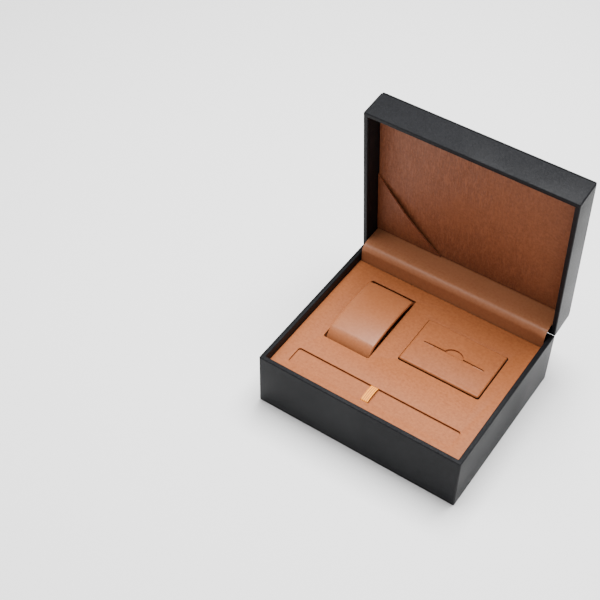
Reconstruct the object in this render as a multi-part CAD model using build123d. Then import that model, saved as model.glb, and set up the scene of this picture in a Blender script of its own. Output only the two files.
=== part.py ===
from build123d import *
import math
import os

os.makedirs("parts", exist_ok=True)

# Overall size of the closed box, and how far the lid stands open
WIDTH = 200.0
DEPTH = 170.0
BASE_H = 58.5
RIM_GAP = 1.0
LID_H = 30.5
LID_OPEN_DEG = 85.0

# Case walls: a board with leather glued round both faces and over the rim
BOARD = 3.0
SKIN = 0.75
WALL = BOARD + 2 * SKIN
CORNER_R = 1.5
RIM_EDGE = 0.6
TURN_IN = 12.0
REAR_CHAMFER = 1.9

# Padded panel on top of the lid
TOP_PANEL_H = 2.3
TOP_PANEL_GROOVE = 0.4
TOP_PANEL_INSET = 0.5
TOP_BOARD_INSET = 1.8
TOP_BOARD_H = 1.0
TOP_EDGE = 0.7
STITCH_INSET = 6.5
STITCH_W = 0.9
STITCH_DEPTH = 0.2

# Insert: a leather panel on a block of foam
INSERT_DROP = 9.0
INSERT_T = 2.5
INSERT_FIT = 0.3
INSERT_REAR_Y = 72.4
INSERT_EDGE = 0.5
FOAM_STEP_Z = 40.0

# Pen tray
PEN_LENGTH = 163.0
PEN_WIDTH = 18.6
PEN_Y = -58.4
PEN_DEPTH = 2.0
PEN_CORNER_R = 2.5
PEN_TRAY_T = 2.0

# Ribbon loop that holds the pen
RIBBON_X = -3.0
RIBBON_W = 7.0
RIBBON_T = 0.7
RIBBON_RISE = 1.3

# Watch well
WELL_X = (-72.0, -25.0)
WELL_Y = (-25.7, 56.8)
WELL_CORNER_R = 1.5
LINER_T = 1.0

# Watch cuff: a bent plate with leather over it
CUFF_WIDTH = 45.0
CUFF_GAP = 0.5
CUFF_TOP_RISE = 7.6
CUFF_FLOOR_GAP = 0.8
CUFF_FRONT_R = 20.0
CUFF_REAR_R = 16.0
CUFF_CROWN_R = 190.0
CUFF_PLATE_T = 2.0
CUFF_MOUTH = 30.0

# Card pad
PAD_X = (-3.5, 76.0)
PAD_Y = (-10.7, 44.5)
PAD_FIT = 0.5
PAD_CORNER_R = 2.0
PAD_CORE_H = 3.4
PAD_BACKING_T = 0.5
PAD_RISE = 1.5
PAD_CROWN = 0.9
SLIT_Y = 18.0
SLIT_W = 0.6
SLIT_LENGTH = 60.4
NOTCH_WIDTH = 18.0
NOTCH_DEPTH = 6.5

# Lid lining
LINING_DEPTH = 18.5
LINING_T = 2.0
LINING_REAR_Y = 73.6
POCKET_T = 1.2
POCKET_LEG_X = 68.5
POCKET_LEG_Y = 72.0
POCKET_MARGIN = 0.3
LINING_FOAM_INSET = 1.0

# Hinges
HINGE_INSET = 2.0
HINGE_X = 55.0
HINGE_LENGTH = 36.0
KNUCKLES = 3
KNUCKLE_R = 1.5
KNUCKLE_GAP = 0.15
PIN_R = 0.75
PIN_CLEARANCE = 0.05
LEAF_T = 0.8
FLANGE_H = 12.0
NOTCH_CLEARANCE = 0.35
SEAT_CLEARANCE = 0.2
SCREW_SPACING = 22.0
SCREW_DROP = 7.2
SCREW_HEAD_R = 1.9
SCREW_R = 0.9
SCREW_LENGTH = 3.2

# Leather flap over the hinges
FLAP_LENGTH = 189.0
FLAP_T = 1.2
FLAP_Y = 73.6
FLAP_SHELF_Z = 68.4
FLAP_NOSE_R = 6.0
FLAP_TAIL_Z = 42.0

# Heights and places that follow from the sizes above
LID_RIM_Z = BASE_H + RIM_GAP
LID_CASE_TOP = LID_RIM_Z + LID_H - TOP_PANEL_H
INSERT_Z = BASE_H - INSERT_DROP
FOAM_TOP_Z = INSERT_Z - INSERT_T
FLOOR_Z = SKIN + BOARD
INNER_X = WIDTH / 2 - WALL
INNER_Y = DEPTH / 2 - WALL
HINGE_Y = DEPTH / 2 - HINGE_INSET
HINGE_Z = BASE_H + RIM_GAP / 2
LINING_Z = LID_RIM_Z + LINING_DEPTH
HINGE_AXIS = Axis((0, HINGE_Y, HINGE_Z), (-1, 0, 0))


def block(x, y, z):
    """A box between two limits on each axis."""
    size = (x[1] - x[0], y[1] - y[0], z[1] - z[0])
    centre = ((x[0] + x[1]) / 2, (y[0] + y[1]) / 2, (z[0] + z[1]) / 2)
    return Pos(*centre) * Box(*size)


def rounded_block(x, y, z, radius):
    """A box with rounded upright edges."""
    outline = RectangleRounded(x[1] - x[0], y[1] - y[0], radius)
    return Pos((x[0] + x[1]) / 2, (y[0] + y[1]) / 2, z[0]) * extrude(outline, z[1] - z[0])


def grown(limits, margin):
    """A pair of limits moved apart by a margin at each end."""
    return (limits[0] - margin, limits[1] + margin)


def centred(size):
    """The limits of a length centred on the origin."""
    return (-size / 2, size / 2)


def edges_at(shape, axis, height):
    """The straight edges of a shape that lie flat at one height."""
    return shape.edges().filter_by_position(axis, height - 0.01, height + 0.01)


def rear_chamfer(height, width, depth):
    """The wedge cut from a case's rear rim so that the lid can swing."""
    rear = depth / 2
    profile = Polyline(
        (rear - REAR_CHAMFER, height),
        (rear + 1, height - REAR_CHAMFER - 1),
        (rear + 1, height + 1),
        (rear - REAR_CHAMFER, height + 1),
        close=True,
    )
    return extrude(Plane.YZ * make_face(profile), width / 2 + 1, both=True)


def case_boards(height):
    """Floor and wall boards of an open case that stands on its floor."""
    half_x = WIDTH / 2 - SKIN
    half_y = DEPTH / 2 - SKIN
    walls_z = (FLOOR_Z, height - SKIN)
    side_y = (-half_y + BOARD, half_y - BOARD)
    rear = block((-half_x, half_x), (half_y - BOARD, half_y), walls_z)
    return {
        "floor_board": block((-half_x, half_x), (-half_y, half_y), (SKIN, FLOOR_Z)),
        "front_board": block((-half_x, half_x), (-half_y, -half_y + BOARD), walls_z),
        "rear_board": rear - rear_chamfer(height - SKIN, WIDTH, DEPTH - 2 * SKIN),
        "left_board": block((-half_x, -half_x + BOARD), side_y, walls_z),
        "right_board": block((half_x - BOARD, half_x), side_y, walls_z),
    }


def case_wrap(height, boards):
    """The leather round the boards, turned in under the floor board."""
    outer = block(centred(WIDTH), centred(DEPTH), (0, height))
    outer = fillet(outer.edges().filter_by(Axis.Z), CORNER_R)
    outer = chamfer(edges_at(outer, Axis.Z, height), RIM_EDGE)
    outer = chamfer(edges_at(outer, Axis.Z, 0), RIM_EDGE)
    cavity = block(centred(2 * INNER_X), centred(2 * INNER_Y), (SKIN, height + 1))
    under = block(centred(WIDTH - 2 * TURN_IN), centred(DEPTH - 2 * TURN_IN), (-1, SKIN))
    wrap = outer - rear_chamfer(height, WIDTH, DEPTH) - cavity - under
    inner_rim = edges_at(wrap, Axis.Z, height).filter_by_position(Axis.X, -INNER_X, INNER_X)
    inner_rim = inner_rim.filter_by_position(Axis.Y, -INNER_Y, INNER_Y)
    wrap = chamfer(inner_rim, RIM_EDGE)
    for board in boards.values():
        wrap -= board
    return wrap


def hinge_leaf(x, upper):
    """One cranked hinge leaf, with its share of the knuckles."""
    knuckle = HINGE_LENGTH / KNUCKLES
    side = 1 if upper else -1
    rim_z = HINGE_Z + side * RIM_GAP / 2
    strip_z = sorted((rim_z, rim_z + side * LEAF_T))
    flange_z = sorted((rim_z, rim_z + side * FLANGE_H))
    leaf_x = (x - HINGE_LENGTH / 2, x + HINGE_LENGTH / 2)
    strip = block(leaf_x, (INNER_Y - LEAF_T, HINGE_Y), strip_z)
    flange = block(leaf_x, (INNER_Y - LEAF_T, INNER_Y), flange_z)
    leaf = strip + flange
    across = Pos(x, HINGE_Y, HINGE_Z) * Rot(0, 90, 0)
    notch_y = (HINGE_Y - KNUCKLE_R - NOTCH_CLEARANCE, HINGE_Y + KNUCKLE_R)
    for index in range(KNUCKLES):
        offset_x = (index - (KNUCKLES - 1) / 2) * knuckle
        if (index % 2 == 1) == upper:
            leaf += Pos(offset_x, 0, 0) * across * Cylinder(KNUCKLE_R, knuckle - KNUCKLE_GAP)
        else:
            notch_x = grown((x + offset_x, x + offset_x), (knuckle + KNUCKLE_GAP) / 2)
            leaf -= block(notch_x, notch_y, grown((HINGE_Z, HINGE_Z), FLANGE_H))
    bore = PIN_R + PIN_CLEARANCE if upper else PIN_R
    return leaf - across * Cylinder(bore, HINGE_LENGTH + 1)


def hinge_screws(upper):
    """The countersunk screws that hold one pair of leaves."""
    side = 1 if upper else -1
    z = HINGE_Z + side * (RIM_GAP / 2 + SCREW_DROP)
    screws = []
    for x in (-HINGE_X, HINGE_X):
        for offset in (-SCREW_SPACING / 2, SCREW_SPACING / 2):
            place = Pos(x + offset, INNER_Y - LEAF_T, z) * Rot(-90, 0, 0)
            head = Pos(0, 0, LEAF_T / 2) * Cone(SCREW_HEAD_R, SCREW_R, LEAF_T)
            shank = Pos(0, 0, SCREW_LENGTH / 2) * Cylinder(SCREW_R, SCREW_LENGTH)
            screws.append(place * (head + shank))
    return screws


def hinge_seat():
    """The room that the knuckles and strips take in both rear rims."""
    reach = KNUCKLE_R + NOTCH_CLEARANCE
    seats = []
    for x in (-HINGE_X, HINGE_X):
        seat_x = grown((x, x), HINGE_LENGTH / 2 + SEAT_CLEARANCE)
        barrel = block(seat_x, (HINGE_Y - reach, DEPTH / 2 + 1), grown((HINGE_Z, HINGE_Z), reach))
        strip = block(seat_x, (INNER_Y - LEAF_T, HINGE_Y), grown((HINGE_Z, HINGE_Z), RIM_GAP / 2 + LEAF_T))
        seats.append(barrel + strip)
    return seats


def hinge_pins():
    """The two pins, each as long as its row of knuckles."""
    pins = []
    for x in (-HINGE_X, HINGE_X):
        pins.append(Pos(x, HINGE_Y, HINGE_Z) * Rot(0, 90, 0) * Cylinder(PIN_R, HINGE_LENGTH))
    return pins


def insert_parts():
    """The foam block, its leather panel, the pen tray and the well liner."""
    pen = (centred(PEN_LENGTH), (PEN_Y - PEN_WIDTH / 2, PEN_Y + PEN_WIDTH / 2))
    tray_top = INSERT_Z - PEN_DEPTH
    tray = rounded_block(*pen, (tray_top - PEN_TRAY_T, tray_top), PEN_CORNER_R)
    panel_x = centred(2 * (INNER_X - INSERT_FIT))
    panel_y = (-INNER_Y + INSERT_FIT, INSERT_REAR_Y)
    panel = block(panel_x, panel_y, (FOAM_TOP_Z, INSERT_Z))
    panel -= rounded_block(WELL_X, WELL_Y, (0, BASE_H), WELL_CORNER_R)
    panel -= rounded_block(*pen, (0, BASE_H), PEN_CORNER_R)
    pad_hole = (grown(PAD_X, PAD_FIT), grown(PAD_Y, PAD_FIT))
    panel -= rounded_block(*pad_hole, (0, BASE_H), PAD_CORNER_R)
    panel = chamfer(edges_at(panel, Axis.Z, INSERT_Z), INSERT_EDGE)
    panel -= tray
    foam = block(centred(2 * INNER_X), (-INNER_Y, INSERT_REAR_Y), (FLOOR_Z, FOAM_TOP_Z))
    foam += block(centred(2 * INNER_X), (INSERT_REAR_Y, INNER_Y), (FLOOR_Z, FOAM_STEP_Z))
    liner_out = (grown(WELL_X, LINER_T), grown(WELL_Y, LINER_T))
    foam -= block(*liner_out, (FLOOR_Z, FOAM_TOP_Z))
    foam -= tray
    core_z = INSERT_Z - PAD_BACKING_T - PAD_CORE_H
    foam -= rounded_block(*pad_hole, (core_z, BASE_H), PAD_CORNER_R)
    liner = block(*liner_out, (FLOOR_Z, FOAM_TOP_Z))
    liner -= rounded_block(WELL_X, WELL_Y, (FLOOR_Z + LINER_T, BASE_H), WELL_CORNER_R)
    return {
        "insert_foam_block": foam,
        "insert_panel": panel,
        "pen_tray_floor": tray,
        "watch_well_liner": liner,
    }


def pen_ribbon():
    """The elastic ribbon, arched over the tray and tucked down at its edges."""
    half = PEN_WIDTH / 2
    low = INSERT_Z - PEN_DEPTH
    edge = INSERT_Z + 0.1
    crest = INSERT_Z + RIBBON_RISE
    outer = Polyline((-half, edge), (-half, low), (half, low), (half, edge))
    arch = ThreePointArc((half, edge), (0, crest), (-half, edge))
    inner_half = half - RIBBON_T
    inner = Polyline(
        (-inner_half, edge - RIBBON_T), (-inner_half, low), (inner_half, low), (inner_half, edge - RIBBON_T)
    )
    inner_arch = ThreePointArc(
        (inner_half, edge - RIBBON_T), (0, crest - RIBBON_T), (-inner_half, edge - RIBBON_T)
    )
    section = make_face(outer + arch) - make_face(inner + inner_arch)
    return Pos(RIBBON_X, PEN_Y, 0) * extrude(Plane.YZ * section, RIBBON_W / 2, both=True)


def card_pad():
    """The card pad: a core, the pocket's backing and a crowned leather cover."""
    top = INSERT_Z + PAD_RISE
    core_top = INSERT_Z - PAD_BACKING_T
    core_z = (core_top - PAD_CORE_H, core_top)
    inner_x = grown(PAD_X, -SKIN)
    inner_y = grown(PAD_Y, -SKIN)
    core = rounded_block(inner_x, inner_y, core_z, PAD_CORNER_R - SKIN)
    backing = rounded_block(inner_x, inner_y, (core_top, INSERT_Z), PAD_CORNER_R - SKIN)
    cover = rounded_block(PAD_X, PAD_Y, (core_z[0], top), PAD_CORNER_R)
    cover = fillet(edges_at(cover, Axis.Z, top), PAD_RISE - 0.1)
    centre_x = (PAD_X[0] + PAD_X[1]) / 2
    centre_y = (PAD_Y[0] + PAD_Y[1]) / 2
    half_y = (PAD_Y[1] - PAD_Y[0]) / 2
    crown_r = (half_y ** 2 + PAD_CROWN ** 2) / (2 * PAD_CROWN)
    crown = Pos(centre_x, centre_y, top - crown_r) * Rot(0, 90, 0) * Cylinder(crown_r, 2 * WIDTH)
    cover &= crown
    cover -= rounded_block(inner_x, inner_y, (core_z[0] - 1, INSERT_Z), PAD_CORNER_R - SKIN)
    slit_x = (centre_x - SLIT_LENGTH / 2, centre_x + SLIT_LENGTH / 2)
    cover -= block(slit_x, (SLIT_Y - SLIT_W / 2, SLIT_Y + SLIT_W / 2), (INSERT_Z, BASE_H))
    half_notch = NOTCH_WIDTH / 2
    notch = make_face(
        Line((-half_notch, 0), (half_notch, 0))
        + ThreePointArc((half_notch, 0), (0, NOTCH_DEPTH), (-half_notch, 0))
    )
    cover -= Pos(centre_x, SLIT_Y, INSERT_Z) * extrude(notch, BASE_H - INSERT_Z)
    return {"card_pad_core": core, "card_pocket_backing": backing, "card_pad_cover": cover}


def watch_cuff():
    """The C-shaped cuff: a bent plate, and leather turned over its edges."""
    y = grown(WELL_Y, -CUFF_GAP)
    z = (FLOOR_Z + LINER_T + CUFF_FLOOR_GAP, INSERT_Z + CUFF_TOP_RISE)
    mid_y = (y[0] + y[1]) / 2
    outline = Pos(mid_y, (z[0] + z[1]) / 2) * Rectangle(y[1] - y[0], z[1] - z[0])
    outline = fillet(outline.vertices().group_by(Axis.X)[0], CUFF_FRONT_R)
    outline = fillet(outline.vertices().group_by(Axis.X)[-1], CUFF_REAR_R)
    outline &= Pos(mid_y, z[1] - CUFF_CROWN_R) * Circle(CUFF_CROWN_R)
    plate_out = offset(outline, -SKIN)
    plate_in = offset(outline, -SKIN - CUFF_PLATE_T)
    centre_x = (WELL_X[0] + WELL_X[1]) / 2 + 0.2
    at = Pos(centre_x, 0, 0)
    ring = at * extrude(Plane.YZ * (plate_out - plate_in), CUFF_WIDTH / 2 - SKIN, both=True)
    full = at * extrude(Plane.YZ * (outline - plate_in), CUFF_WIDTH / 2, both=True)
    mouth_z = (0, z[0] + CUFF_REAR_R / 2)
    plate_mouth = block(centred(WIDTH), (mid_y - CUFF_MOUTH / 2 - SKIN, mid_y + CUFF_MOUTH / 2 + SKIN), mouth_z)
    cover_mouth = block(centred(WIDTH), (mid_y - CUFF_MOUTH / 2, mid_y + CUFF_MOUTH / 2), mouth_z)
    plate = ring - plate_mouth
    cover = full - cover_mouth - plate
    return {"cuff_plate": plate, "cuff_leather": cover}


def lid_closed_parts():
    """Everything that the closed lid carries, apart from its hinge leaves."""
    boards = case_boards(LID_CASE_TOP - LID_RIM_Z)
    wrap = case_wrap(LID_CASE_TOP - LID_RIM_Z, boards)
    lift = Pos(0, 0, LID_CASE_TOP)
    parts = {}
    for name, board in boards.items():
        parts["lid_" + name.replace("floor", "top")] = lift * mirror(board, about=Plane.XY)
    parts["lid_leather_wrap"] = lift * mirror(wrap, about=Plane.XY)
    parts.update(lid_top_panel())
    parts.update(lid_lining())
    return parts


def lid_top_panel():
    """The stitched, padded panel on top of the lid, on its own thin board."""
    top = LID_CASE_TOP + TOP_PANEL_H
    board_x = centred(WIDTH - 2 * TOP_BOARD_INSET)
    board_y = centred(DEPTH - 2 * TOP_BOARD_INSET)
    board = block(board_x, board_y, (LID_CASE_TOP, LID_CASE_TOP + TOP_BOARD_H))
    cover_x = WIDTH - 2 * TOP_PANEL_INSET
    cover_y = DEPTH - 2 * TOP_PANEL_INSET
    cover = rounded_block(
        centred(cover_x), centred(cover_y), (LID_CASE_TOP + TOP_PANEL_GROOVE, top), CORNER_R
    )
    cover = chamfer(edges_at(cover, Axis.Z, top), TOP_EDGE)
    line_x = cover_x - 2 * STITCH_INSET
    line_y = cover_y - 2 * STITCH_INSET
    line = Rectangle(line_x, line_y) - Rectangle(line_x - 2 * STITCH_W, line_y - 2 * STITCH_W)
    cover -= Pos(0, 0, top - STITCH_DEPTH) * extrude(line, 1)
    cover -= board
    return {"lid_top_panel_board": board, "lid_top_panel_cover": cover}


def lid_lining():
    """The lining panel of the lid, the foam behind it and the corner pocket."""
    lining_x = centred(2 * (INNER_X - INSERT_FIT))
    lining_y = (-INNER_Y + INSERT_FIT, LINING_REAR_Y)
    panel = block(lining_x, lining_y, (LINING_Z, LINING_Z + LINING_T))
    panel = chamfer(edges_at(panel, Axis.Z, LINING_Z), INSERT_EDGE)
    foam_z = (LINING_Z + LINING_T, LID_CASE_TOP - FLOOR_Z)
    foam = block(grown(lining_x, -LINING_FOAM_INSET), grown(lining_y, -LINING_FOAM_INSET), foam_z)
    left = lining_x[0] + POCKET_MARGIN
    rear = lining_y[1] - POCKET_MARGIN
    outline = Polyline((left, rear), (left, rear - POCKET_LEG_Y), (left + POCKET_LEG_X, rear), close=True)
    pocket = Pos(0, 0, LINING_Z - POCKET_T) * extrude(make_face(outline), POCKET_T)
    return {"lid_lining_foam": foam, "lid_lining_panel": panel, "lid_corner_pocket": pocket}


def opened(y, z):
    """Where a point of the closed lid stands once the lid is open."""
    turn = math.radians(LID_OPEN_DEG)
    dy = y - HINGE_Y
    dz = z - HINGE_Z
    return (
        HINGE_Y + dy * math.cos(turn) + dz * math.sin(turn),
        HINGE_Z - dy * math.sin(turn) + dz * math.cos(turn),
    )


def hinge_flap():
    """The leather flap from the lid lining, over the hinges, down behind the insert."""
    top_y, top_z = opened(LINING_REAR_Y + FLAP_T, LINING_Z + LINING_T / 2)
    route = FilletPolyline(
        (top_y, top_z),
        (FLAP_Y + 2 * FLAP_NOSE_R, FLAP_SHELF_Z),
        (FLAP_Y, FLAP_SHELF_Z - FLAP_T),
        (FLAP_Y, FLAP_TAIL_Z + FLAP_NOSE_R),
        (FLAP_Y + 1.2, FLAP_TAIL_Z),
        radius=[2 * FLAP_NOSE_R, FLAP_NOSE_R, FLAP_NOSE_R],
    )
    strip = make_face(offset(route, FLAP_T / 2).wires()[0])
    return extrude(Plane.YZ * strip, FLAP_LENGTH / 2, both=True)


def assemble():
    """Every node of the box, with the lid turned to its open position."""
    boards = case_boards(BASE_H)
    base = {"base_" + name.replace("floor", "bottom"): board for name, board in boards.items()}
    base["base_leather_wrap"] = case_wrap(BASE_H, boards)
    lid = lid_closed_parts()
    base_screws = hinge_screws(upper=False)
    lid_screws = hinge_screws(upper=True)
    for seat in hinge_seat() + base_screws:
        base["base_rear_board"] -= seat
        base["base_leather_wrap"] -= seat
    for seat in hinge_seat() + lid_screws:
        lid["lid_rear_board"] -= seat
        lid["lid_leather_wrap"] -= seat
    for side, x in (("left", -HINGE_X), ("right", HINGE_X)):
        base["hinge_base_leaf_" + side] = hinge_leaf(x, upper=False)
        lid["hinge_lid_leaf_" + side] = hinge_leaf(x, upper=True)
        for screw in base_screws:
            base["hinge_base_leaf_" + side] -= screw
        for screw in lid_screws:
            lid["hinge_lid_leaf_" + side] -= screw
    base["hinge_pins"] = Compound(hinge_pins())
    base["hinge_base_screws"] = Compound(base_screws)
    lid["hinge_lid_screws"] = Compound(lid_screws)
    sheet_x = centred(WIDTH - 2 * TURN_IN)
    sheet_y = centred(DEPTH - 2 * TURN_IN)
    base["base_underside_sheet"] = block(sheet_x, sheet_y, (0, SKIN))
    base.update(insert_parts())
    base["pen_loop_ribbon"] = pen_ribbon()
    base.update(card_pad())
    base.update(watch_cuff())
    base["hinge_cover_flap"] = hinge_flap()
    nodes = dict(base)
    for name, shape in lid.items():
        nodes[name] = shape.rotate(HINGE_AXIS, LID_OPEN_DEG)
    return nodes


for node, shape in assemble().items():
    export_step(shape, "parts/" + node + ".step")
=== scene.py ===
"""Looks of a leather-covered watch gift box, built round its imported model."""

from __future__ import annotations

import logging
import math
from contextlib import contextmanager
from dataclasses import dataclass, replace
from enum import Enum
from typing import Callable, Iterable, Iterator, Mapping, Sequence

import bmesh
import bpy
from mathutils import Matrix, Vector, noise

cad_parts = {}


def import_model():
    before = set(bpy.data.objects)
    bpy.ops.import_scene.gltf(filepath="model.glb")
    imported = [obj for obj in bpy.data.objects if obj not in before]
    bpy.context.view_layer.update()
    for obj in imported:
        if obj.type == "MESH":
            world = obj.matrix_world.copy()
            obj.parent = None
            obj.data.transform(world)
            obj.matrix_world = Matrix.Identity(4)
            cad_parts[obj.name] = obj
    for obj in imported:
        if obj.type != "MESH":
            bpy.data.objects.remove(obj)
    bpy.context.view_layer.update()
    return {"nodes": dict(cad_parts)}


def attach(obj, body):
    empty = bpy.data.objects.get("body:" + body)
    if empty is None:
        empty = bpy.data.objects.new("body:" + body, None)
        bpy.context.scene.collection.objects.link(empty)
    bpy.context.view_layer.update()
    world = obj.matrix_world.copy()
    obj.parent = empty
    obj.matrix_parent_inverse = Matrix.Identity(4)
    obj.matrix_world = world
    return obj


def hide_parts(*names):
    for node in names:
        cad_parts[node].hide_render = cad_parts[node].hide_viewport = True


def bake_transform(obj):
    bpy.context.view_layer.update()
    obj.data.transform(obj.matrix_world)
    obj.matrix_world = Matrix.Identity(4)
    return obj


log = logging.getLogger("gift_box")

MM = 0.001
WELD_DISTANCE = 1e-7
Point = tuple[float, float, float]
Pair = tuple[float, float]
Solid = bpy.types.Object
Socket = bpy.types.NodeSocket
Finish = bpy.types.Material
Inputs = Mapping[str | int, object]


class Grain(Enum):
    """A leather's grain: cells and creases per metre, and the depth in millimetres."""

    FINE = (1500.0, 380.0, 0.10)
    SOFT = (1050.0, 400.0, 0.16)
    COARSE = (950.0, 520.0, 0.20)


@dataclass(frozen=True)
class Sizes:
    """Main sizes of the box, in millimetres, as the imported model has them."""

    width: float = 200.0
    depth: float = 170.0
    base_height: float = 58.5
    rim_gap: float = 1.0
    inner_y: float = 80.5
    insert_z: float = 49.5
    hinge_y: float = 83.0
    hinge_z: float = 59.0
    open_deg: float = 85.0
    lid_case_top: float = 87.7
    lining_z: float = 78.0

    def opened(self, point: Sequence[float]) -> Point:
        """Turn a point of the closed lid to where it stands when the lid is open.

        Args:
            point: The place on the closed lid, in millimetres.

        Returns:
            The place on the open lid, in millimetres.
        """
        turn = math.radians(self.open_deg)
        dy = point[1] - self.hinge_y
        dz = point[2] - self.hinge_z
        y = self.hinge_y + dy * math.cos(turn) + dz * math.sin(turn)
        z = self.hinge_z - dy * math.sin(turn) + dz * math.cos(turn)
        return (point[0], y, z)


BOX = Sizes()


def centred(length: float, inset: float) -> Pair:
    """The ends of a length centred on zero, pulled in at both ends."""
    return (-length / 2 + inset, length / 2 - inset)


def shrunk(limits: Pair, inset: float) -> Pair:
    """A stretch's ends, pulled in at both ends."""
    return (limits[0] + inset, limits[1] - inset)


def middle(limits: Pair) -> float:
    """The middle of a stretch."""
    return (limits[0] + limits[1]) / 2


@dataclass(frozen=True)
class Ripple:
    """Smooth waves in a soft surface: their height and width in millimetres, and their pattern."""

    height: float
    size: float
    seed: float

    def at(self, x: float, y: float) -> float:
        """The rise at a place on the surface, in millimetres."""
        return self.height * noise.noise(Vector((x / self.size, y / self.size, self.seed)))


@contextmanager
def edited(obj: Solid) -> Iterator[bmesh.types.BMesh]:
    """Open an object's mesh for editing and write it back."""
    work = bmesh.new()
    work.from_mesh(obj.data)
    yield work
    work.to_mesh(obj.data)
    work.free()


def place_object(name: str, data: bpy.types.ID) -> Solid:
    """Put new data into the scene as an object."""
    obj = bpy.data.objects.new(name, data)
    bpy.context.scene.collection.objects.link(obj)
    return obj


def mesh_object(name: str, points: Iterable[Point], faces: Iterable[Sequence[int]]) -> Solid:
    """Make a mesh object from points in millimetres.

    Args:
        name: The object's name.
        points: The corners, in millimetres.
        faces: The faces, as indices of corners.

    Returns:
        The new object, with its faces pointing outwards.
    """
    mesh = bpy.data.meshes.new(name)
    mesh.from_pydata([tuple(c * MM for c in p) for p in points], [], [tuple(f) for f in faces])
    obj = place_object(name, mesh)
    with edited(obj) as work:
        bmesh.ops.remove_doubles(work, verts=work.verts, dist=WELD_DISTANCE)
        bmesh.ops.recalc_face_normals(work, faces=work.faces)
    return obj


def shade_smooth(obj: Solid, angle_deg: float) -> None:
    """Shade an object smooth, but keep edges sharper than an angle.

    Args:
        obj: The object.
        angle_deg: The largest turn between two faces that is still shaded smooth.
    """
    for polygon in obj.data.polygons:
        polygon.use_smooth = True
    limit = math.radians(angle_deg)
    with edited(obj) as work:
        for edge in work.edges:
            edge.smooth = len(edge.link_faces) == 2 and edge.calc_face_angle(0.0) < limit


def open_out(obj: Solid, flipped_at: float | None = None) -> None:
    """Turn a piece drawn on the closed lid to where it stands on the open one.

    Args:
        obj: The piece.
        flipped_at: Where a piece drawn upside down has its zero in the closed lid, or None.
    """
    for vertex in obj.data.vertices:
        x, y, z = (c / MM for c in vertex.co)
        if flipped_at is not None:
            z = flipped_at - z
        vertex.co = Vector(BOX.opened((x, y, z))) * MM
    if flipped_at is not None:
        with edited(obj) as work:
            bmesh.ops.recalc_face_normals(work, faces=work.faces)


def apply_modifiers(obj: Solid) -> None:
    """Turn an object's modifiers into plain mesh."""
    bpy.context.view_layer.update()
    depsgraph = bpy.context.evaluated_depsgraph_get()
    mesh = bpy.data.meshes.new_from_object(obj.evaluated_get(depsgraph))
    obj.modifiers.clear()
    old = obj.data
    obj.data = mesh
    mesh.name = obj.name
    bpy.data.meshes.remove(old)


def modify(obj: Solid, kind: str, **values: object) -> None:
    """Add a modifier, set its properties and apply it.

    Args:
        obj: The object.
        kind: The modifier's type.
        values: Properties to set, by name.
    """
    modifier = obj.modifiers.new(kind.lower(), kind)
    for key, value in values.items():
        setattr(modifier, key, value)
    apply_modifiers(obj)


def cut_away(obj: Solid, cutter: Solid) -> None:
    """Cut one solid out of another and remove the cutter."""
    modify(obj, "BOOLEAN", operation="DIFFERENCE", solver="EXACT", object=cutter)
    bpy.data.objects.remove(cutter)


def soften(obj: Solid, width: float, segments: int, angle_deg: float = 40.0) -> None:
    """Round an object's sharp edges.

    Args:
        obj: The object.
        width: Width of the rounding, in millimetres.
        segments: Faces across it.
        angle_deg: Edges sharper than this are rounded.
    """
    modify(
        obj, "BEVEL", width=width * MM, segments=segments, limit_method="ANGLE",
        angle_limit=math.radians(angle_deg), harden_normals=False,
    )


def grid_faces(rows: int, columns: int, ring: bool = False, loop: bool = False) -> list[tuple[int, ...]]:
    """The faces of a grid of points that are held row by row.

    Args:
        rows: Number of rows.
        columns: Points in each row.
        ring: Whether each row closes on itself.
        loop: Whether the last row joins the first.

    Returns:
        The faces, as indices of points.
    """
    faces = []
    for row in range(rows if loop else rows - 1):
        low = row * columns
        high = (row + 1) % rows * columns
        for column in range(columns if ring else columns - 1):
            after = (column + 1) % columns
            faces.append((low + column, low + after, high + after, high + column))
    return faces


def prism(name: str, outline: Sequence[Pair], low: float, high: float) -> Solid:
    """Make an upright prism.

    Args:
        name: The object's name.
        outline: The outline's corners in x and y, in millimetres.
        low: Height of the underside.
        high: Height of the top.

    Returns:
        The prism.
    """
    count = len(outline)
    points = [(x, y, z) for z in (low, high) for x, y in outline]
    faces = [tuple(range(count)), tuple(range(count, 2 * count))]
    return mesh_object(name, points, faces + grid_faces(2, count, ring=True))


def brick(name: str, x: Pair, y: Pair, z: Pair) -> Solid:
    """Make a plain block from its limits in x, y and z."""
    return prism(name, [(x[0], y[0]), (x[1], y[0]), (x[1], y[1]), (x[0], y[1])], *z)


def arc(centre: Pair, radius: float, start_deg: float, end_deg: float, steps: int) -> list[Pair]:
    """Points in order at even turns along an arc, one more than there are steps."""
    angles = [math.radians(start_deg + (end_deg - start_deg) * i / steps) for i in range(steps + 1)]
    return [(centre[0] + radius * math.cos(a), centre[1] + radius * math.sin(a)) for a in angles]


def rounded_outline(x: Pair, y: Pair, radius: float, steps: int = 6) -> list[Pair]:
    """The corners of a rounded rectangle, anticlockwise.

    Args:
        x: Its limits in x.
        y: Its limits in y.
        radius: Its corner radius.
        steps: Points along each corner, less one.

    Returns:
        The outline's points.
    """
    (left, right), (front, rear) = shrunk(x, radius), shrunk(y, radius)
    outline = []
    for turn, centre in enumerate(((right, front), (right, rear), (left, rear), (left, front)), start=-1):
        outline += arc(centre, radius, 90 * turn, 90 * turn + 90, steps)
    return outline


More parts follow.
